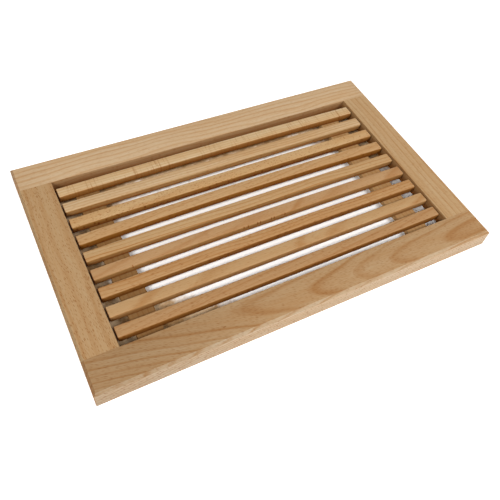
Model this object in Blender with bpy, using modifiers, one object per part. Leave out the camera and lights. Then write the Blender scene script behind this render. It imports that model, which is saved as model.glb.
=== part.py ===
"""Beech bread board with a crumb catcher.

Two rails and two stiles, dowelled at the corners, hold a thin crumb panel in a groove.
A slatted grid lies loose on that panel and lifts straight out for emptying.

Metres, +Z up. The origin is the middle of the board's underside. X runs along the
two long rails, and the front rail lies towards -Y.
"""
import math

import bmesh
import bpy
from mathutils import Vector

# Whole board
BOARD_LENGTH = 0.395
BOARD_DEPTH = 0.250
BOARD_THICK = 0.020
TOP_CHAMFER = 0.0023        # flat chamfer round the outer top edge
CORNER_EASE = 0.0010        # rounding of the outer corners and lower edges
EASE_STEPS = 2
SEAT_GAP = 0.0003           # room left between pieces that touch

# Frame members: two long rails, and two stiles between them
RAIL_WIDTH = 0.031
STILE_WIDTH = 0.031

# Crumb panel: white-faced hardboard in a groove
PANEL_THICK = 0.003
PANEL_LIP = 0.002           # wood between the panel and the board's underside
GROOVE_DEPTH = 0.005

# Dowels: two across each butt joint, at the quarter points of the stile's width
DOWEL_RADIUS = 0.003
DOWEL_LENGTH = 0.030
DOWEL_CHAMFER = 0.0008
DOWEL_SIDES = 20

# Slats: as many as fit at this width and gap, with the rest split between front and back
SLAT_WIDTH = 0.0115
SLAT_THICK = 0.0075
SLAT_GAP = 0.0086
SLAT_ARRIS = 0.0006
SLAT_END_PLAY = 0.0015      # from a slat's end to the stile

# Cross bars: two flat battens under the slats
BAR_WIDTH = 0.023
BAR_THICK = 0.0055
BAR_ARRIS = 0.0004
BAR_INSET = 0.015           # from the slats' ends to the bar
BAR_END_PLAY = 0.0013       # from the bar's end to the rail

# Steel pins: driven up through a bar into each slat
PIN_RADIUS = 0.0007
PIN_TIP = 0.0012            # length of the point
PIN_COVER = 0.0028          # wood left above the point
PIN_HEAD_RADIUS = 0.0014
PIN_HEAD_RIM = 0.0003
PIN_HEAD_THICK = 0.0010
PIN_SIDES = 12

# How far a cutter runs out of what it cuts, and how close two points count as one
OVERRUN = 0.001
MERGE = 0.00001

# Places that follow from those sizes
INNER_LENGTH = BOARD_LENGTH - 2 * STILE_WIDTH
INNER_DEPTH = BOARD_DEPTH - 2 * RAIL_WIDTH
GROOVE_TOP = PANEL_LIP + PANEL_THICK + SEAT_GAP
BAR_FLOOR = GROOVE_TOP
SLAT_FLOOR = BAR_FLOOR + BAR_THICK + SEAT_GAP
SLAT_LENGTH = INNER_LENGTH - 2 * SLAT_END_PLAY
SLAT_PITCH = SLAT_WIDTH + SLAT_GAP
SLAT_COUNT = int(INNER_DEPTH / SLAT_PITCH)
BAR_CENTRE = SLAT_LENGTH / 2 - BAR_INSET - BAR_WIDTH / 2
DOWEL_HEIGHT = (GROOVE_TOP + BOARD_THICK) / 2
PIN_LENGTH = SLAT_FLOOR + SLAT_THICK - PIN_COVER - BAR_FLOOR

# Sides of the board, by name
X_SIDES = {"left": -1, "right": 1}
Y_SIDES = {"back": 1, "front": -1}

# Colours as sRGB hex
RAIL_TONES = {"back": "c9a67c", "front": "b78f63"}
STILE_TONES = {"left": "b8926a", "right": "bd9a6c"}
SLAT_TONES = ("c8a478", "c5a075", "c39b6c", "bd9364", "be9668", "b88e60", "b88a59", "bc9466", "b3885a")
BAR_TONE = "b08a5c"
DOWEL_TONE = "d0b48c"
PANEL_TONE = "f1efec"
STEEL_TONE = "8e8e90"
WOOD_ROUGHNESS = 0.6
PANEL_ROUGHNESS = 0.35
STEEL_ROUGHNESS = 0.35


def linear(tone):
    """Linear RGBA of an sRGB hex colour."""
    channels = [int(tone[i:i + 2], 16) / 255 for i in (0, 2, 4)]
    return [c / 12.92 if c <= 0.04045 else ((c + 0.055) / 1.055) ** 2.4 for c in channels] + [1.0]


def new_material(name, tone, roughness=WOOD_ROUGHNESS, metallic=0.0):
    """Plain Principled BSDF material, wood unless told otherwise."""
    made = bpy.data.materials.new(name)
    made.use_nodes = True
    shader = made.node_tree.nodes["Principled BSDF"]
    shader.inputs["Base Color"].default_value = linear(tone)
    shader.inputs["Roughness"].default_value = roughness
    shader.inputs["Metallic"].default_value = metallic
    return made


def new_collection(name):
    made = bpy.data.collections.new(name)
    bpy.context.scene.collection.children.link(made)
    return made


def new_mesh(name, bm, material=None):
    """Mesh from a bmesh, which is freed."""
    mesh = bpy.data.meshes.new(name)
    bm.to_mesh(mesh)
    bm.free()
    if material:
        mesh.materials.append(material)
    return mesh


def new_object(name, mesh, group, place=(0, 0, 0), parent=None):
    """Object at a place, which is measured from its parent's origin if it has one."""
    made = bpy.data.objects.new(name, mesh)
    made.location = place
    made.parent = parent
    group.objects.link(made)
    return made


def cut(target, cutter):
    """Boolean difference that follows the cutter."""
    cutter.hide_render = True
    cutter.display_type = "WIRE"
    modifier = target.modifiers.new("cut_" + cutter.name, "BOOLEAN")
    modifier.operation = "DIFFERENCE"
    modifier.solver = "EXACT"
    modifier.object = cutter


def ease(target, width):
    """Small flat bevel on every edge."""
    modifier = target.modifiers.new("arris", "BEVEL")
    modifier.width = width
    modifier.segments = 1
    modifier.limit_method = "ANGLE"


def turn(target, sides):
    """Closed turned solid from a profile at +X that starts and ends on the Z axis."""
    modifier = target.modifiers.new("turn", "SCREW")
    modifier.steps = sides
    modifier.render_steps = sides
    modifier.use_merge_vertices = True
    modifier.merge_threshold = MERGE


def box(size):
    """Box centred on the origin."""
    bm = bmesh.new()
    bmesh.ops.create_cube(bm, size=1.0)
    bmesh.ops.scale(bm, vec=size, verts=bm.verts)
    return bm


def cylinder(radius, length, sides):
    """Closed cylinder along Z, centred on the origin."""
    bm = bmesh.new()
    bmesh.ops.create_cone(bm, cap_ends=True, segments=sides, radius1=radius, radius2=radius, depth=length)
    return bm


def profile(points):
    """Open line through (radius, height) points."""
    bm = bmesh.new()
    verts = [bm.verts.new((radius, 0, height)) for radius, height in points]
    for pair in zip(verts, verts[1:]):
        bm.edges.new(pair)
    return bm


def same(first, second):
    return abs(first - second) < MERGE


def middle_of(edge, place):
    """Middle of a frame member's edge, in the board's frame."""
    return (edge.verts[0].co + edge.verts[1].co) / 2 + place


def on_end(point):
    return same(abs(point.x), BOARD_LENGTH / 2)


def on_side(point):
    return same(abs(point.y), BOARD_DEPTH / 2)


def outline_edges(bm, place, level):
    """Edges of a frame member that run along the board's outline at one level."""
    found = []
    for edge in bm.edges:
        middle = middle_of(edge, place)
        if (on_end(middle) or on_side(middle)) and same(middle.z, level):
            found.append(edge)
    return found


def corner_edges(bm, place):
    """Upright edges of a frame member at the board's corners."""
    found = []
    for edge in bm.edges:
        middle = middle_of(edge, place)
        if on_end(middle) and on_side(middle):
            found.append(edge)
    return found


def make_frame_member(name, tone, size, place, group):
    """Rail or stile: a straight board, chamfered and eased where it carries the board's outline."""
    bm = box(size)
    chamfered = outline_edges(bm, place, BOARD_THICK)
    bmesh.ops.bevel(bm, geom=chamfered, offset=TOP_CHAMFER, segments=1, affect="EDGES")
    eased = outline_edges(bm, place, 0) + corner_edges(bm, place)
    bmesh.ops.bevel(bm, geom=eased, offset=CORNER_EASE, segments=EASE_STEPS, profile=0.5, affect="EDGES")
    mesh = new_mesh(name, bm, new_material(name + "_beech", tone))
    return new_object(name, mesh, group, place)


def make_frame(group):
    """Rails the whole length of the board, and stiles between them, keyed by side."""
    members = {}
    for side, y_sign in Y_SIDES.items():
        size = Vector((BOARD_LENGTH, RAIL_WIDTH, BOARD_THICK))
        place = Vector((0, y_sign * (BOARD_DEPTH - RAIL_WIDTH) / 2, BOARD_THICK / 2))
        members[side] = make_frame_member(f"{side}_rail", RAIL_TONES[side], size, place, group)
    for side, x_sign in X_SIDES.items():
        size = Vector((STILE_WIDTH, INNER_DEPTH - 2 * SEAT_GAP, BOARD_THICK))
        place = Vector((x_sign * (BOARD_LENGTH - STILE_WIDTH) / 2, 0, BOARD_THICK / 2))
        members[side] = make_frame_member(f"{side}_stile", STILE_TONES[side], size, place, group)
    return members


def make_crumb_panel(members, group, cutters):
    """Crumb panel, and the groove for it in all four members, which stops short of the rails' ends."""
    place = Vector((0, 0, PANEL_LIP + PANEL_THICK / 2))
    opening = Vector((INNER_LENGTH, INNER_DEPTH, PANEL_THICK))
    groove = opening + 2 * Vector((GROOVE_DEPTH, GROOVE_DEPTH, SEAT_GAP))
    panel = groove - 2 * Vector((SEAT_GAP, SEAT_GAP, SEAT_GAP))
    finish = new_material("white_hardboard", PANEL_TONE, PANEL_ROUGHNESS)
    new_object("crumb_panel", new_mesh("crumb_panel", box(panel), finish), group, place)
    cutter = new_object("panel_groove", new_mesh("panel_groove", box(groove)), cutters, place)
    for member in members.values():
        cut(member, cutter)


def make_dowels(members, group, cutters):
    """Two beech dowels with chamfered ends in each corner, and their holes in the rail and the stile."""
    bm = cylinder(DOWEL_RADIUS, DOWEL_LENGTH, DOWEL_SIDES)
    rims = {edge for face in bm.faces if len(face.verts) == DOWEL_SIDES for edge in face.edges}
    bmesh.ops.bevel(bm, geom=list(rims), offset=DOWEL_CHAMFER, segments=1, affect="EDGES")
    dowel_mesh = new_mesh("dowel", bm, new_material("dowel_beech", DOWEL_TONE))
    dowel_mesh.shade_smooth()
    dowel_mesh.set_sharp_from_angle(angle=math.radians(30))
    hole = cylinder(DOWEL_RADIUS + SEAT_GAP, DOWEL_LENGTH + 2 * SEAT_GAP, DOWEL_SIDES)
    hole_mesh = new_mesh("dowel_hole", hole)
    for y_name, y_sign in Y_SIDES.items():
        for x_name, x_sign in X_SIDES.items():
            for number, step in enumerate((-1, 1), start=1):
                across = x_sign * (BOARD_LENGTH - STILE_WIDTH) / 2 + step * STILE_WIDTH / 4
                place = (across, y_sign * INNER_DEPTH / 2, DOWEL_HEIGHT)
                label = f"{y_name}_{x_name}_{number}"
                dowel = new_object(f"dowel_{label}", dowel_mesh, group, place)
                cutter = new_object(f"dowel_hole_{label}", hole_mesh, cutters, place)
                for lying in (dowel, cutter):
                    lying.rotation_euler.x = math.radians(90)
                cut(members[y_name], cutter)
                cut(members[x_name], cutter)


def make_slats(lift, group):
    """Slats from the back rail to the front one."""
    slats = []
    for index in range(SLAT_COUNT):
        name = f"slat_{index + 1}"
        material = new_material(name + "_beech", SLAT_TONES[index % len(SLAT_TONES)])
        mesh = new_mesh(name, box(Vector((SLAT_LENGTH, SLAT_WIDTH, SLAT_THICK))), material)
        back_to_front = ((SLAT_COUNT - 1) / 2 - index) * SLAT_PITCH
        place = (0, back_to_front, SLAT_FLOOR + SLAT_THICK / 2 - BAR_FLOOR)
        slat = new_object(name, mesh, group, place, lift)
        ease(slat, SLAT_ARRIS)
        slats.append(slat)
    return slats


def make_bars(lift, group):
    """Cross bars under the slats, near their ends, keyed by side."""
    bars = {}
    for side, x_sign in X_SIDES.items():
        name = f"cross_bar_{side}"
        size = Vector((BAR_WIDTH, INNER_DEPTH - 2 * BAR_END_PLAY, BAR_THICK))
        mesh = new_mesh(name, box(size), new_material(name + "_beech", BAR_TONE))
        bars[side] = new_object(name, mesh, group, (x_sign * BAR_CENTRE, 0, BAR_THICK / 2), lift)
        ease(bars[side], BAR_ARRIS)
    return bars


def make_pins(slats, bars, lift, group, cutters):
    """Countersunk pin under every slat in each bar, its head level with the bar's underside."""
    pin = [
        (0, PIN_LENGTH),
        (PIN_RADIUS, PIN_LENGTH - PIN_TIP),
        (PIN_RADIUS, PIN_HEAD_THICK),
        (PIN_HEAD_RADIUS, PIN_HEAD_RIM),
        (PIN_HEAD_RADIUS, 0),
        (0, 0),
    ]
    hole = [
        (0, PIN_LENGTH + SEAT_GAP),
        (PIN_RADIUS + SEAT_GAP, PIN_LENGTH + SEAT_GAP),
        (PIN_RADIUS + SEAT_GAP, PIN_HEAD_THICK + SEAT_GAP),
        (PIN_HEAD_RADIUS + SEAT_GAP, PIN_HEAD_RIM + SEAT_GAP),
        (PIN_HEAD_RADIUS + SEAT_GAP, -OVERRUN),
        (0, -OVERRUN),
    ]
    steel = new_material("pin_steel", STEEL_TONE, STEEL_ROUGHNESS, metallic=1.0)
    pin_mesh = new_mesh("pin", profile(pin), steel)
    hole_mesh = new_mesh("pin_hole", profile(hole))
    for side, bar in bars.items():
        for number, slat in enumerate(slats, start=1):
            place = (bar.location.x, slat.location.y, 0)
            made = new_object(f"pin_{side}_{number}", pin_mesh, group, place, lift)
            cutter = new_object(f"pin_hole_{side}_{number}", hole_mesh, cutters, place, lift)
            for turned in (made, cutter):
                turn(turned, PIN_SIDES)
            cut(bar, cutter)
            cut(slat, cutter)


def make_grid(group, cutters):
    """Slats, cross bars and pins, all carried by the empty that the grid lifts with."""
    lift = new_object("grid_lift", None, group, (0, 0, BAR_FLOOR))
    lift.empty_display_size = BOARD_THICK
    slats = make_slats(lift, group)
    bars = make_bars(lift, group)
    make_pins(slats, bars, lift, group, cutters)


def main():
    for item in list(bpy.data.objects):
        bpy.data.objects.remove(item)
    board = new_collection("bread_board")
    cutters = new_collection("cutters")
    members = make_frame(board)
    make_crumb_panel(members, board, cutters)
    make_dowels(members, board, cutters)
    make_grid(board, cutters)


main()
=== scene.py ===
"""Looks of a beech bread board: a doweled frame, a white crumb panel and a slatted grid that lifts out.

Each section below is one piece, or one group of like pieces, in the order in which the board is put together.
Metres, +Z up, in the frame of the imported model. The front rail lies towards -Y.
"""
import math

import bmesh
import bpy
from mathutils import Euler, Matrix, Vector


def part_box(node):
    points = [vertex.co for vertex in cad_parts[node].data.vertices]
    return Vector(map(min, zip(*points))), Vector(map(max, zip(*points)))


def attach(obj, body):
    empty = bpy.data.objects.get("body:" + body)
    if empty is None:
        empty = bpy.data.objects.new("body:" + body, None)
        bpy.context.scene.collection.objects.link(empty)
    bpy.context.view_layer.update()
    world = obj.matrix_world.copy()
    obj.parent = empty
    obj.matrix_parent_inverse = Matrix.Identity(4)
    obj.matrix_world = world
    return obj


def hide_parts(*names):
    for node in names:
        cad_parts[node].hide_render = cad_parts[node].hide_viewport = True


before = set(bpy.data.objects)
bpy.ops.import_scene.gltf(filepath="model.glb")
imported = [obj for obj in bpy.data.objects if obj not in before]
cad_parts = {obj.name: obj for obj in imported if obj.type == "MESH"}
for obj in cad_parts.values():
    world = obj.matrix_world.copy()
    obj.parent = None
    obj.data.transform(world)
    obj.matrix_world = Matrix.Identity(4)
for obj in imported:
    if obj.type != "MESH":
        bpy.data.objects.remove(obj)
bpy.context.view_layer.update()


# Back rail
# Steamed beech, planed, sanded and lightly oiled, and cut so that its rings wander along it as soft lines.
# Its outer top edge has a flat machined chamfer, and the other outer edges are rubbed round by hand.

MM = 0.001


def linear(tone):
    """Linear RGBA of an sRGB hex colour."""
    channels = [int(tone[i:i + 2], 16) / 255 for i in (0, 2, 4)]
    return [c / 12.92 if c <= 0.04045 else ((c + 0.055) / 1.055) ** 2.4 for c in channels] + [1.0]


def add(tree, kind, inputs=None, **settings):
    """Adds a shader node with its settings. Each of its inputs is given a value or another node's output.

    Inputs that share a name go by number. Map Range takes 1 and 2 to 3 and 4, and Mix goes from 2 to 3, or
    from 6 to 7 where it blends colours.
    """
    made = tree.nodes.new("ShaderNode" + kind)
    for name, value in settings.items():
        setattr(made, name, value)
    for key, value in (inputs or {}).items():
        if isinstance(value, bpy.types.NodeSocket):
            tree.links.new(value, made.inputs[key])
        else:
            made.inputs[key].default_value = value
    return made


# Sizes of the figure of beech, in mm along the grain and both ways across it
DRIFT = (90, 40, 40)
STREAK = (160, 9, 9)
FIBRE = (16, 0.8, 0.8)
RAY = (1.3, 22, 22)
RAY_LEAN = math.radians(-12)
FIBRE_RELIEF = 0.05 * MM
PAINTED_SHADE_DEPTH = 12 * MM

# How dark a ring is at each share of its width, between edges that are half dark
RING_EDGE = 0.5
LATEWOOD = ((0.08, 0.0), (0.60, 0.10), (0.90, 1.0))

# How many mm of a log's bend the full range of a ramp's colour stands for
BEND_RANGE = 128


def beech(name, box, tone, heart, turn=(0, 0, 0), bow=(), ring=2.8, rings=0.5, wander=3.0, streaks=0.6,
          fleck=(5, 1.3, 6), flecks=0.3, lean=(0, 0, 0), edge_flecks=None, rays=0.0, low_end_shade=1.0,
          painted_sides=(), marks=(), end="a97c50"):
    """Sanded and oiled beech: a soft sheen without gloss, over a figure that runs on from face to face.

    box is the piece's lowest and highest corner in metres, and the other sizes are in mm.
    tone is the wood between its lines and flecks. The low-end factor says how light the wood is painted
    at the lower end of the log, as painted shade.
    heart is the way from the log's heart to the piece's middle: along the log, across and up. The log runs
    along X, turned by turn, in degrees, and bow gives for places along it how far it bends across and up.
    ring is the width of a growth ring, and fleck the size of a ray fleck's cell, which lean tips over.
    rings, streaks, flecks and rays say how strongly each of them shows.
    edge_flecks are other flecks on one side: the way it looks, their size, strength and lean.
    The side tones give for each way a face may look its tone near the top and near the foot: painted shade
    that darkens towards the foot, and painted light on a face lit from the front.
    marks are small dark spots, each with its place and its half sizes.
    """
    made = bpy.data.materials.new(name)
    made.use_nodes = True
    tree = made.node_tree
    shader = tree.nodes["Principled BSDF"]
    low, high = (Vector(corner) for corner in box)
    where = add(tree, "TexCoord")
    log_turn = Euler([math.radians(angle) for angle in turn])
    to_heart = Vector(heart) - log_turn.to_matrix() @ ((low + high) / 2 / MM)
    log = add(tree, "Mapping", {"Vector": where.outputs["Object"], "Scale": (1 / MM, 1 / MM, 1 / MM),
                                "Rotation": log_turn, "Location": to_heart}).outputs[0]
    if bow:
        # The ramp's colours hold how far the log bends at each place, and middle grey is no bend
        run = add(tree, "SeparateXYZ", {0: log}).outputs["X"]
        reach = bow[-1][0]
        place = add(tree, "MapRange", {0: run, 1: heart[0] - reach, 2: heart[0] + reach}).outputs[0]
        curve = add(tree, "ValToRGB", {0: place})
        curve.color_ramp.interpolation = "CARDINAL"
        points = curve.color_ramp.elements
        for at, across, up in bow:
            if abs(at) == reach:
                point = points[0 if at < 0 else -1]
            else:
                point = points.new((at + reach) / reach / 2)
            point.color = (0.5, 0.5 + across / BEND_RANGE, 0.5 + up / BEND_RANGE, 1)
        shift = add(tree, "VectorMath", {0: curve.outputs[0], 1: (-0.5, -0.5, -0.5)},
                    operation="ADD").outputs[0]
        log = add(tree, "VectorMath", {0: shift, 1: [BEND_RANGE] * 3, 2: log},
                  operation="MULTIPLY_ADD").outputs[0]

    # Rings wander by a few mm over the length of a board
    slow = add(tree, "VectorMath", {0: log, 1: [1 / size for size in DRIFT]},
               operation="MULTIPLY").outputs[0]
    drift = add(tree, "TexNoise", {"Vector": slow, "Scale": 1.0, "Detail": 1.5, "Roughness": 0.4})
    drift = add(tree, "VectorMath", {0: drift.outputs["Color"], 1: (0.5, 0.5, 0.5)},
                operation="SUBTRACT").outputs[0]
    bent = add(tree, "VectorMath", {0: drift, 1: (0, wander * 2, wander * 2), 2: log},
               operation="MULTIPLY_ADD").outputs[0]
    flat = add(tree, "VectorMath", {0: bent, 1: (0, 1, 1)}, operation="MULTIPLY").outputs[0]
    radius = add(tree, "VectorMath", {0: flat}, operation="LENGTH").outputs["Value"]
    count = add(tree, "Math", {0: radius, 1: ring}, operation="DIVIDE").outputs[0]
    phase = add(tree, "Math", {0: count}, operation="FRACT").outputs[0]
    year = add(tree, "Math", {0: count}, operation="FLOOR").outputs[0]
    luck = add(tree, "TexWhiteNoise", {"W": year}, noise_dimensions="1D").outputs["Value"]
    latewood = add(tree, "ValToRGB", {0: phase})
    ramp = latewood.color_ramp
    ramp.interpolation = "EASE"
    for point in ramp.elements:
        point.color = (RING_EDGE, RING_EDGE, RING_EDGE, 1)
    for share, dark in LATEWOOD:
        ramp.elements.new(share).color = (dark, dark, dark, 1)
    strength = add(tree, "MapRange", {0: luck, 3: 0.5 * rings, 4: rings}).outputs[0]
    lines = add(tree, "Math", {0: latewood.outputs[0], 1: strength}, operation="MULTIPLY").outputs[0]

    # Slow streaks along the grain, and fibres drawn a millimetre wide so that they show
    band = add(tree, "VectorMath", {0: bent, 1: [1 / size for size in STREAK]},
               operation="MULTIPLY").outputs[0]
    streak = add(tree, "TexNoise", {"Vector": band, "Scale": 1.0, "Detail": 2.0, "Roughness": 0.5})
    streak = add(tree, "MapRange", {0: streak.outputs[0], 1: 0.35, 2: 0.65, 4: streaks}).outputs[0]
    thread = add(tree, "VectorMath", {0: bent, 1: [1 / size for size in FIBRE]},
                 operation="MULTIPLY").outputs[0]
    fibre = add(tree, "TexNoise", {"Vector": thread, "Scale": 1.0, "Detail": 2.0, "Roughness": 0.6})
    fibre = add(tree, "MapRange", {0: fibre.outputs[0], 1: 0.3, 2: 0.7}).outputs[0]

    def lenses(cell, share, tip):
        """Ray flecks: small dark lenses, one in a cell of their size."""
        tipped = add(tree, "Mapping", {"Vector": bent, "Rotation": [math.radians(angle) for angle in tip]})
        cells = add(tree, "VectorMath", {0: tipped.outputs[0], 1: [1 / size for size in cell]},
                    operation="MULTIPLY").outputs[0]
        lens = add(tree, "TexVoronoi", {"Vector": cells, "Scale": 1.0, "Randomness": 0.9})
        core = add(tree, "MapRange", {0: lens.outputs["Distance"], 1: 0.40, 2: 0.12, 3: 0.0, 4: share})
        core = core.outputs[0]
        chance = add(tree, "SeparateColor", {0: lens.outputs["Color"]}).outputs[0]
        chance = add(tree, "MapRange", {0: chance, 3: 0.3, 4: 1.0}).outputs[0]
        return add(tree, "Math", {0: core, 1: chance}, operation="MULTIPLY").outputs[0]

    def looks(way, start, end):
        """How far a face looks some way, from 0 to 1."""
        facing = add(tree, "VectorMath", {0: where.outputs["Normal"], 1: way}, operation="DOT_PRODUCT")
        return add(tree, "MapRange", {0: facing.outputs["Value"], 1: start, 2: end}).outputs[0]

    specks = lenses(fleck, flecks, lean)
    if edge_flecks:
        way, *others = edge_flecks
        specks = add(tree, "Mix", {0: looks(way, 0.6, 0.9), 2: specks, 3: lenses(*others)}).outputs[0]
    if rays:
        # On a quarter-sawn face some rays run right across the grain as thin lines
        strip = add(tree, "Mapping", {"Vector": bent, "Rotation": (0, 0, RAY_LEAN),
                                      "Scale": [1 / size for size in RAY]}).outputs[0]
        ray = add(tree, "TexNoise", {"Vector": strip, "Scale": 1.0, "Detail": 1.0}).outputs[0]
        ray = add(tree, "MapRange", {0: ray, 1: 0.56, 2: 0.74, 3: 0.0, 4: rays}).outputs[0]
        specks = add(tree, "Math", {0: specks, 1: ray}, operation="MAXIMUM").outputs[0]
    for place, half in marks:
        gap = add(tree, "VectorMath", {0: where.outputs["Object"], 1: [at * MM for at in place]},
                  operation="SUBTRACT").outputs[0]
        gap = add(tree, "VectorMath", {0: gap, 1: [1 / MM / size for size in half]},
                  operation="MULTIPLY").outputs[0]
        gap = add(tree, "VectorMath", {0: gap}, operation="LENGTH").outputs["Value"]
        spot = add(tree, "MapRange", {0: gap, 1: 1.0, 2: 0.5, 3: 0.0, 4: 1.3}).outputs[0]
        specks = add(tree, "Math", {0: specks, 1: spot}, operation="MAXIMUM").outputs[0]

    # Each side is painted a tone near the top and one near the foot: painted shade, darker and browner deep
    # between the pieces, and painted light where a face is lit from the front
    wood = linear(tone)
    depth = add(tree, "SeparateXYZ", {0: where.outputs["Object"]}).outputs["Z"]
    foot_shade_share = add(tree, "MapRange", {0: depth, 1: high.z, 2: max(low.z, high.z - PAINTED_SHADE_DEPTH)}).outputs[0]
    for way, upper, foot in painted_sides:
        graded = add(tree, "Mix", {0: foot_shade_share, 6: linear(upper), 7: linear(foot)}, data_type="RGBA").outputs[2]
        wood = add(tree, "Mix", {0: looks(way, 0.5, 0.95), 6: wood, 7: graded}, data_type="RGBA").outputs[2]

    # End grain drinks more oil and is darker
    along_grain = log_turn.to_matrix().inverted() @ Vector((1, 0, 0))
    ends = [looks(way, 0.4, 0.85) for way in (along_grain, -along_grain)]
    ends = add(tree, "Math", {0: ends[0], 1: ends[1]}, operation="MAXIMUM").outputs[0]
    wood = add(tree, "Mix", {0: ends, 6: wood, 7: linear(end)}, data_type="RGBA").outputs[2]

    # Chamfers and arrises are painted a shade darker than the faces they join, as painted shade.
    slope = add(tree, "SeparateXYZ", {0: where.outputs["Normal"]}).outputs["Z"]
    slope = add(tree, "Math", {0: slope, 1: slope}, operation="MULTIPLY").outputs[0]
    slope = add(tree, "Math", {0: slope, 1: 0.5}, operation="PINGPONG").outputs[0]
    chamfer_shade = add(tree, "MapRange", {0: slope, 1: 0.3, 2: 0.5}).outputs[0]

    # Where beech is darker it is also redder, so each part of the figure takes more blue than red
    for share, full, bare in ((chamfer_shade, (0.88, 0.92, 0.96), (1, 1, 1)),
                              (streak, (0.93, 0.84, 0.73), (1, 1, 1)),
                              (lines, (0.79, 0.61, 0.42), (1, 1, 1)),
                              (fibre, (1.03, 1.08, 1.14), (0.97, 0.92, 0.86)),
                              (specks, (0.62, 0.42, 0.25), (1, 1, 1))):
        tint = add(tree, "Mix", {0: share, 6: (*bare, 1), 7: (*full, 1)}, data_type="RGBA").outputs[2]
        wood = add(tree, "VectorMath", {0: wood, 1: tint}, operation="MULTIPLY").outputs[0]
    # Painted shade: the wood is drawn darker towards the lower end of the log.
    if low_end_shade < 1:
        run = add(tree, "SeparateXYZ", {0: log}).outputs["X"]
        half = max(high - low) / 2 / MM
        light = add(tree, "MapRange", {0: run, 1: heart[0] - half, 2: heart[0], 3: low_end_shade},
                    interpolation_type="SMOOTHSTEP").outputs[0]
        wood = add(tree, "VectorMath", {0: wood, "Scale": light}, operation="SCALE").outputs[0]
    tree.links.new(wood, shader.inputs["Base Color"])
    rough = add(tree, "MapRange", {0: fibre, 3: 0.52, 4: 0.64}).outputs[0]
    tree.links.new(rough, shader.inputs["Roughness"])
    relief = add(tree, "Math", {0: fibre, 1: specks}, operation="SUBTRACT").outputs[0]
    bump = add(tree, "Bump", {"Height": relief, "Strength": 0.25, "Distance": FIBRE_RELIEF}).outputs[0]
    tree.links.new(bump, shader.inputs["Normal"])
    shader.inputs["IOR"].default_value = 1.45
    shader.inputs["Specular IOR Level"].default_value = 0.12
    return made


def blank(name, low, high):
    """Squared blank between two corners, added at its size and place."""
    low, high = Vector(low), Vector(high)
    bpy.ops.object.select_all(action="DESELECT")
    bpy.ops.mesh.primitive_cube_add(size=1, location=(low + high) / 2, scale=high - low)
    bpy.ops.object.transform_apply(location=True, rotation=True, scale=True)
    made = bpy.context.object
    made.name = name
    made.data.name = name
    return made


def bevel_where(piece, wanted, width, segments):
    """Bevels the edges whose middle and direction the test wants, in edit mode."""
    bpy.ops.object.mode_set(mode="EDIT")
    bpy.ops.mesh.select_mode(type="EDGE")
    bpy.ops.mesh.select_all(action="DESELECT")
    shape = bmesh.from_edit_mesh(piece.data)
    for edge in shape.edges:
        middle = (edge.verts[0].co + edge.verts[1].co) / 2
        run = (edge.verts[1].co - edge.verts[0].co).normalized()
        edge.select_set(bool(wanted(middle, run)))
    bmesh.update_edit_mesh(piece.data)
    bpy.ops.mesh.bevel(offset=width, segments=segments, profile=0.5, affect="EDGES")
    bpy.ops.object.mode_set(mode="OBJECT")


def bisect_at(piece, places):
    """Cuts the whole piece across at some places on X, in edit mode, and keeps both sides."""
    bpy.ops.object.mode_set(mode="EDIT")
    for place in places:
        bpy.ops.mesh.select_all(action="SELECT")
        bpy.ops.mesh.bisect(plane_co=(place, 0, 0), plane_no=(1, 0, 0))
    bpy.ops.object.mode_set(mode="OBJECT")


def coat(piece, material):
    """Gives a piece one material in place of those that it has."""
    piece.data.materials.clear()
    piece.data.materials.append(material)


SMOOTH_BELOW = math.radians(35)


def finish(piece, material, body, slot, *nodes):
    """Dresses a piece that stands for some CAD nodes, and lets it ride on their body."""
    coat(piece, material)
    bpy.ops.object.select_all(action="DESELECT")
    piece.select_set(True)
    bpy.context.view_layer.objects.active = piece
    bpy.ops.object.shade_smooth_by_angle(angle=SMOOTH_BELOW)
    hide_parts(*nodes)
    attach(piece, body)


CHAMFER = 2.3 * MM
RUBBED = 1.0 * MM
INNER_ARRIS = 0.35 * MM
GROOVE_ROOM = 0.3 * MM
SAME_PLACE = 0.02 * MM
half_length, half_depth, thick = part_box("back_rail")[1]
opening_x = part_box("right_stile")[0].x
opening_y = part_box("back_rail")[0].y
panel_low, panel_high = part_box("crumb_panel")


def near(first, second):
    """Whether two places on an axis are the same, but for rounding."""
    return abs(first - second) < SAME_PLACE


def frame_piece(name, box):
    """Rail or stile: chamfered, rubbed round and grooved as far as the frame's outline and opening ask."""
    def outer(at):
        return near(abs(at.x), half_length) or near(abs(at.y), half_depth)

    def corner(at):
        return near(abs(at.x), half_length) and near(abs(at.y), half_depth)

    def inner(at, run):
        along_rail = near(abs(at.y), opening_y) and abs(at.x) < opening_x and abs(run.x) > 0.9
        along_stile = near(abs(at.x), opening_x) and abs(at.y) < opening_y and abs(run.y) > 0.9
        return along_rail or along_stile

    piece = blank(name, *box)
    bevel_where(piece, lambda at, run: near(at.z, thick) and outer(at), CHAMFER, segments=1)
    bevel_where(piece, lambda at, run: near(at.z, 0) and outer(at) or corner(at), RUBBED, segments=3)
    bisect_at(piece, (-opening_x, opening_x))
    bevel_where(piece, lambda at, run: (near(at.z, thick) or near(at.z, 0)) and inner(at, run),
                INNER_ARRIS, segments=2)
    room = Vector([GROOVE_ROOM] * 3)
    groove = blank("groove", panel_low - room, panel_high + room)
    cut = piece.modifiers.new("groove", "BOOLEAN")
    cut.object = groove
    cut.solver = "EXACT"
    bpy.ops.object.select_all(action="DESELECT")
    bpy.context.view_layer.objects.active = piece
    bpy.ops.object.modifier_apply(modifier=cut.name)
    bpy.data.objects.remove(groove)
    return piece


back_rail = frame_piece("rail_back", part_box("back_rail"))
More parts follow.
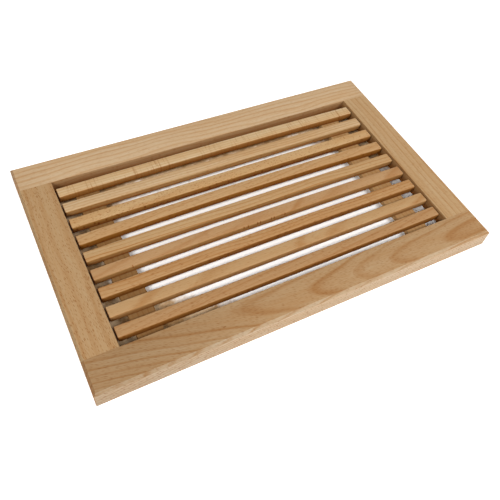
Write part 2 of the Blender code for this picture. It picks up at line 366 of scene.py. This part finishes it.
# Its inner face, towards the slats, is painted with shade that darkens towards the foot.
back_rail_beech = beech(
    "back_rail_oiled_beech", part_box("back_rail"), tone="c7ab88", heart=(300, 62, 58), turn=(0, 0.2, 0.5),
    ring=3.6, rings=0.85, wander=5.0, streaks=0.8, flecks=0.35,
    painted_sides=(((0, -1, 0), "b08c64", "6e3e10"), ((0, 1, 0), "c8a680", "c2a07a")))
finish(back_rail, back_rail_beech, "frame", "frame_beech", "back_rail")


# Front rail
# The flat-sawn board of the frame: its rings break out of the top face in pointed arcs that open to the
# right. The front face is the same board's edge, full of short slanted rays and paler, partly its own cut and
# partly painted light from the front. Its inner face has painted shade towards the foot, and its left end is
# painted darker, as painted shade.

front_rail = frame_piece("rail_front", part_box("front_rail"))
front_rail_beech = beech(
    "front_rail_oiled_beech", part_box("front_rail"), tone="b6956e", low_end_shade=0.82, heart=(900, 0, 36.2),
    bow=((-200, -33, 2.5), (-130, -19, 1.5), (-65, -5.5, 0.6), (0, 1.5, -2.9), (45, 2.8, -5.95),
         (86, 3.3, -9.25), (149, 3.8, -12.27), (200, 3.5, -13.2)),
    ring=3.1, rings=0.9, wander=1.0, streaks=0.8, fleck=(4.6, 0.6, 5), flecks=1.0, lean=(0, 0, 14),
    edge_flecks=((0, -1, 0), (4.2, 5, 1.6), 1.0, (0, -45, 0)),
    painted_sides=(((0, -1, 0), "cfb89c", "c8b194"), ((0, 1, 0), "b08c64", "6e3e10")),
    marks=(((-83.8, -112.4, 20), (1.8, 0.5, 1)),))
finish(front_rail, front_rail_beech, "frame", "frame_beech", "front_rail")


# Stiles
# Two short boards glued and doweled between the rails, their grain across the frame's.
# The left one is flecked with dark rays, and the right one shows straight ring lines.

STILE_SEAM = 0.05 * MM
stile_looks = (
    ("left", 1, dict(tone="b5936a", heart=(1700, 40, 55), turn=(0.2, 0, -90.4), ring=6.0, rings=0.6,
                     streaks=0.4, wander=3.0, fleck=(4.6, 0.75, 6), flecks=1.35, lean=(0, 0, -8),
                     marks=(((-181.3, 93.4, 20), (0.8, 0.8, 1)),))),
    ("right", -1, dict(tone="bc9c74", heart=(2500, 55, 45), turn=(0.2, 0, -89.2), ring=4.4, rings=0.65,
                       wander=4.0, flecks=0.5, lean=(0, 0, -20))),
)
for hand, inwards, look in stile_looks:
    low, high = (Vector(corner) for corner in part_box(f"{hand}_stile"))
    low.y, high.y = -opening_y + STILE_SEAM, opening_y - STILE_SEAM
    stile = frame_piece(f"stile_{hand}", (low, high))
    # Each stile's inner face is painted with shade that darkens towards the foot, and its outer face a shade
    # darker too.
    stile_beech = beech(
        f"{hand}_stile_oiled_beech", (low, high), **look,
        painted_sides=(((inwards, 0, 0), "a58258", "683c10"), ((-inwards, 0, 0), "a8845a", "a07e56")))
    finish(stile, stile_beech, "frame", "frame_beech", f"{hand}_stile")


# Crumb panel
# Thin hardboard, white-lacquered on the face that catches the crumbs, and bare brown below, where the
# press screen has left its weave. It lies in the frame's groove without glue.

PANEL_ARRIS = 0.2 * MM
SMUDGE = 30 * MM
FLUFF = 2 * MM
SCREEN_PITCH = 1.6 * MM
SCREEN_RELIEF = 0.2 * MM
panel = blank("panel_crumb", panel_low, panel_high)
bevel_where(panel, lambda at, run: True, PANEL_ARRIS, segments=2)
hardboard = bpy.data.materials.new("white_lacquered_hardboard")
hardboard.use_nodes = True
tree = hardboard.node_tree
shader = tree.nodes["Principled BSDF"]
where = add(tree, "TexCoord")
place = where.outputs["Object"]
smudge = add(tree, "TexNoise", {"Vector": place, "Scale": 1 / SMUDGE, "Detail": 3.0}).outputs[0]
lacquer = add(tree, "Mix", {0: smudge, 6: linear("fefefe"), 7: linear("f9f9f8")}, data_type="RGBA").outputs[2]

# The lacquer is painted with brown shade in patches towards the left end, the back and the corners, where the
# frame and bars keep the light off it. Each way that it comes from has the places along it, in mm, where the
# shade starts and where it is full.
PATCH = 14 * MM
RAGGED = 60 * MM
shade_ways = (((-1, 0, 0), 128, 150), ((0, 1, 0), 61, 75), ((-1, -1.5, 0), 183, 207), ((-1, 1, 0), 140, 185),
            ((1, 0.8, 0), 148, 172))
patches = add(tree, "TexNoise", {"Vector": place, "Scale": 1 / PATCH, "Detail": 5.0,
                                 "Roughness": 0.65}).outputs[0]
mottle = add(tree, "MapRange", {0: patches, 1: 0.4, 2: 0.6}).outputs[0]
shade_brown = add(tree, "Mix", {0: mottle, 6: linear("c9ae8b"), 7: linear("98744c")}, data_type="RGBA").outputs[2]
ragged = add(tree, "Math", {0: patches, 1: 0.5}, operation="SUBTRACT").outputs[0]
shade_mask = 0.0
for way, start, end in shade_ways:
    reach = add(tree, "VectorMath", {0: place, 1: way}, operation="DOT_PRODUCT").outputs["Value"]
    reach = add(tree, "Math", {0: ragged, 1: RAGGED, 2: reach}, operation="MULTIPLY_ADD").outputs[0]
    share = add(tree, "MapRange", {0: reach, 1: start * MM, 2: end * MM}).outputs[0]
    shade_mask = add(tree, "Math", {0: shade_mask, 1: share}, operation="MAXIMUM").outputs[0]
lacquer = add(tree, "Mix", {0: shade_mask, 6: lacquer, 7: shade_brown}, data_type="RGBA").outputs[2]

# Below, the bare fibres show, with the weave that the press screen has left. Wave Texture draws a band on
# each tenth of pi of its scale.
fluff = add(tree, "TexNoise", {"Vector": place, "Scale": 1 / FLUFF, "Detail": 5.0}).outputs[0]
bare = add(tree, "Mix", {0: fluff, 6: linear("8a6544"), 7: linear("6c4a2f")}, data_type="RGBA").outputs[2]
up = add(tree, "SeparateXYZ", {0: where.outputs["Normal"]}).outputs["Z"]
lacquered = add(tree, "Math", {0: up, 1: 0.5}, operation="GREATER_THAN").outputs[0]
face = add(tree, "Mix", {0: lacquered, 6: bare, 7: lacquer}, data_type="RGBA").outputs[2]
tree.links.new(face, shader.inputs["Base Color"])

# The lacquer has a satin gloss, and the bare side is matt
rough = add(tree, "MapRange", {0: lacquered, 3: 0.8, 4: 0.3}).outputs[0]
tree.links.new(rough, shader.inputs["Roughness"])
height = add(tree, "Math", {0: 1.0, 1: lacquered}, operation="SUBTRACT").outputs[0]
for way in "XY":
    weave = add(tree, "TexWave", {"Vector": place, "Scale": math.pi / 10 / SCREEN_PITCH}, bands_direction=way)
    height = add(tree, "Math", {0: height, 1: weave.outputs["Fac"]}, operation="MULTIPLY").outputs[0]
bump = add(tree, "Bump", {"Height": height, "Strength": 0.6, "Distance": SCREEN_RELIEF}).outputs[0]
tree.links.new(bump, shader.inputs["Normal"])
finish(panel, hardboard, "frame", "white_hardboard", "crumb_panel")


# Dowels
# Beech dowels, two across each corner joint, glued in and out of sight.
# Their solids have the right shape and only need the wood.

dowel_beech = beech("turned_dowel_beech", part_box("dowel_back_left_1"), tone="dcc097",
                    heart=(3200, 30, 40), turn=(0, 0, -90))
for name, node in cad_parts.items():
    if name.startswith("dowel_"):
        coat(node, dowel_beech)


# Slats
# Nine slats of the lift-out grid, planed square with a light arris, each from another board, from pale yellow
# to orange brown. Each has bowed a little between its pins, and its sides have painted shade towards the
# foot.

SLAT_ARRIS = 1.1 * MM
SLAT_SPANS = 10

# Each slat's bow in mm towards the back, the tones of its sides near the top and near the foot, which are
# painted shade, and its wood
slats = (
    (1.0, "a77844", "7a4608", dict(tone="cfb58f", heart=(4000, 50, 4), turn=(0, 0, 0.3), ring=3.0, rings=0.6,
                                   streaks=1.6, flecks=0.15, rays=0.65)),
    (0.2, "bc9868", "8e581c", dict(tone="c8ab85", heart=(4800, 45, 25), turn=(0, 0.1, 0.4), ring=2.4,
                                   rings=1.1, streaks=1.2, flecks=0.4)),
    (0.3, "9c6e36", "663004", dict(tone="c5a275", heart=(5600, 10, 70), turn=(0, 0.4, -0.6), ring=3.0,
                                   rings=0.6, streaks=1.3, fleck=(3.4, 1.1, 6), flecks=1.3)),
    (1.7, "966429", "743f08", dict(tone="be996d", heart=(6400, 40, 40), turn=(0, 0.5, -5), ring=3.6,
                                   rings=0.5, flecks=0.8, lean=(0, 0, 10))),
    (0.5, "b38c5a", "84501a", dict(tone="bd9b70", heart=(7200, 40, 40), turn=(0, 0.3, 0.8), ring=2.8,
                                   rings=1.15, streaks=1.0, flecks=0.4)),
    (0.9, "ac8250", "804c14", dict(tone="b58e64", heart=(8000, 12, 60), turn=(0, 2.6, -3), ring=3.2,
                                   rings=0.7, flecks=0.4,
                                   marks=[((at, -25.0, 17.3), (0.8, 1.3, 2.5))
                                          for at in (-130, -21.3, -16.8, -6.9, -3.8, 7.9, 11, 22.8)])),
    (0.7, "946430", "6c3c06", dict(tone="b89063", heart=(8800, 45, 45), turn=(0, 0.3, 1.0), ring=2.3,
                                   rings=1.0, streaks=0.8, flecks=0.9)),
    (-0.1, "b48a5a", "80501a", dict(tone="b9956a", heart=(9600, 5, 50), turn=(0, 2.2, 1), ring=3.0,
                                    rings=0.7, flecks=0.4)),
    (-0.5, "986630", "683806", dict(tone="b18a60", heart=(10400, 30, 45), turn=(0, 0.6, -4), ring=3.0,
                                    rings=0.6, flecks=0.75, lean=(0, 0, 10))),
)
first_slat = blank("grid_slat_1", *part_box("slat_1"))
bevel_where(first_slat, lambda at, run: True, SLAT_ARRIS, segments=4)
slat_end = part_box("slat_1")[1].x
bisect_at(first_slat, [slat_end * (2 * cut / SLAT_SPANS - 1) for cut in range(1, SLAT_SPANS)])
straight_slat = first_slat.data.copy()
pin_run = sum(corner.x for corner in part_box("pin_right_1")) / 2


def bow_slat(slat, bow):
    """Moves each cut across a slat along Y in edit mode: by bow at mid length, and not at all at the pins."""
    bpy.ops.object.select_all(action="DESELECT")
    slat.select_set(True)
    bpy.context.view_layer.objects.active = slat
    bpy.ops.object.mode_set(mode="EDIT")
    bpy.ops.mesh.select_mode(type="VERT")
    shape = bmesh.from_edit_mesh(slat.data)
    for cut in sorted({round(vertex.co.x / MM, 2) for vertex in shape.verts}):
        bpy.ops.mesh.select_all(action="DESELECT")
        for vertex in shape.verts:
            vertex.select_set(round(vertex.co.x / MM, 2) == cut)
        shape.select_flush_mode()
        bmesh.update_edit_mesh(slat.data)
        bpy.ops.transform.translate(value=(0, bow * (1 - (cut * MM / pin_run) ** 2), 0))
    bpy.ops.object.mode_set(mode="OBJECT")


for number, (bow, upper, foot, look) in enumerate(slats, start=1):
    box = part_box(f"slat_{number}")
    slat = first_slat
    if number > 1:
        slat = first_slat.copy()
        slat.name = f"grid_slat_{number}"
        slat.data = straight_slat.copy()
        slat.data.name = slat.name
        slat.data.transform(Matrix.Translation(box[0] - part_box("slat_1")[0]))
        bpy.context.scene.collection.objects.link(slat)
    bow_slat(slat, bow * MM)
    slat_beech = beech(f"slat_{number}_oiled_beech", box, **look, end="8a5c34",
                       painted_sides=(((0, -1, 0), upper, foot), ((0, 1, 0), upper, foot)))
    finish(slat, slat_beech, "grid", "slat_beech", f"slat_{number}")
bpy.data.meshes.remove(straight_slat)


# Cross bars
# Two flat battens under the slats, with the grain along them, countersunk below for the pins.
# Their solids have the right shape and only need the wood.

# Both bars are drawn darker than the slats, as painted shade from the slats above them, the left one darker
# still.
for hand, tone, run in (("left", "82603a", 11200), ("right", "a38056", 12000)):
    bar_beech = beech(f"{hand}_cross_bar_planed_beech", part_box(f"cross_bar_{hand}"), tone=tone,
                      heart=(run, 35, 30), turn=(0.3, 0, -90.6), ring=3.2, flecks=0.15, end="7a5030")
    coat(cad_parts[f"cross_bar_{hand}"], bar_beech)


# Pins
# Countersunk steel pins, one through each bar into each slat, driven from below.
# Drawn wire with a pressed head, bright but not polished.

DRAW_MARK = 0.6 * MM
pin_steel = bpy.data.materials.new("drawn_steel_wire")
pin_steel.use_nodes = True
tree = pin_steel.node_tree
shader = tree.nodes["Principled BSDF"]
where = add(tree, "TexCoord")
drawn = add(tree, "TexNoise", {"Vector": where.outputs["Object"], "Scale": 1 / DRAW_MARK,
                               "Detail": 3.0}).outputs[0]
steel = add(tree, "Mix", {0: drawn, 6: linear("9c9c9e"), 7: linear("7e7e82")}, data_type="RGBA").outputs[2]
tree.links.new(steel, shader.inputs["Base Color"])
rough = add(tree, "MapRange", {0: drawn, 3: 0.28, 4: 0.45}).outputs[0]
tree.links.new(rough, shader.inputs["Roughness"])
shader.inputs["Metallic"].default_value = 1.0
for name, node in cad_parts.items():
    if name.startswith("pin_"):
        coat(node, pin_steel)


# Floor and light
# A white floor that shows as white to the camera and keeps the board's shadow, under two equal soft lamps.
# These stand above the front, left and right, so that their light reaches the panel between the slats.

FLOOR_SIZE = 6.0
FLOOR_DROP = 0.05 * MM
FLOOR_GLOW = 0.55
SURROUND_LIGHT = 0.15


def seen_by_camera(tree):
    """Output that is 1 for the camera's rays, also once something has mirrored them or let them through."""
    rays = add(tree, "LightPath")
    seen = rays.outputs["Is Camera Ray"]
    for kind in ("Is Glossy Ray", "Is Transmission Ray"):
        seen = add(tree, "Math", {0: seen, 1: rays.outputs[kind]}, operation="MAXIMUM").outputs[0]
    return seen


bpy.ops.object.select_all(action="DESELECT")
bpy.ops.mesh.primitive_plane_add(size=FLOOR_SIZE, location=(0, 0, -FLOOR_DROP))
floor = bpy.context.object
floor.name = "studio_floor"
floor_paint = bpy.data.materials.new("matt_white_floor")
floor_paint.use_nodes = True
tree = floor_paint.node_tree
shader = tree.nodes["Principled BSDF"]
shader.inputs["Base Color"].default_value = linear("f4f4f4")
shader.inputs["Roughness"].default_value = 0.9
shader.inputs["Emission Color"].default_value = (1, 1, 1, 1)
glow = add(tree, "Math", {0: seen_by_camera(tree), 1: FLOOR_GLOW}, operation="MULTIPLY").outputs[0]
tree.links.new(glow, shader.inputs["Emission Strength"])
floor.data.materials.append(floor_paint)

world = bpy.data.worlds.new("white_surround")
bpy.context.scene.world = world
world.use_nodes = True
tree = world.node_tree
level = add(tree, "MapRange", {0: seen_by_camera(tree), 3: SURROUND_LIGHT, 4: 1.0}).outputs[0]
background = tree.nodes["Background"]
background.inputs["Color"].default_value = (1, 1, 1, 1)
tree.links.new(level, background.inputs["Strength"])

# The lamps and the camera look at this point over the grid, left of its middle and in front of it
AIM = Vector((-0.029, -0.0514, 0.020))
LAMP_DISTANCE = 2.6
LAMP_LENGTH = 1.0
LAMP_WIDTH = 0.52
LAMP_POWER = 50.5


def strip_lamp(name, way):
    """Area lamp that looks at the board from some way off, its length along the slats."""
    lamp = bpy.data.lights.new(name, "AREA")
    lamp.shape = "RECTANGLE"
    lamp.size = LAMP_LENGTH
    lamp.size_y = LAMP_WIDTH
    lamp.energy = LAMP_POWER
    back = Vector(way).normalized()
    side = (Vector((1, 0, 0)) - back * back.x).normalized()
    turn = Matrix((side, back.cross(side), back)).transposed()
    made = bpy.data.objects.new(name, lamp)
    made.matrix_world = Matrix.Translation(AIM + back * LAMP_DISTANCE) @ turn.to_4x4()
    bpy.context.scene.collection.objects.link(made)


strip_lamp("left_softbox", (-1.1, -0.613, 1.0))
strip_lamp("right_softbox", (1.1, -0.613, 1.0))


# Camera
# It looks down over the front left corner from half a metre, slightly rolled, as the photograph was taken.
# Its place and its lens come from a fit to the corners and edges of the frame.

AZIMUTH = math.radians(34.51)
ELEVATION = math.radians(53.37)
ROLL = math.radians(9.03)
DISTANCE = 0.5146
LENS = 41.12
SENSOR = 36
camera_data = bpy.data.cameras.new("camera")
camera_data.sensor_width = SENSOR
camera_data.lens = LENS
camera = bpy.data.objects.new("camera", camera_data)
aim_turn = Matrix.Rotation(-AZIMUTH, 4, "Z") @ Matrix.Rotation(math.pi / 2 - ELEVATION, 4, "X")
camera.matrix_world = (Matrix.Translation(AIM) @ aim_turn @ Matrix.Rotation(ROLL, 4, "Z")
                       @ Matrix.Translation((0, 0, DISTANCE)))
bpy.context.scene.collection.objects.link(camera)
bpy.context.scene.camera = camera
bpy.context.scene.view_settings.view_transform = "Standard"
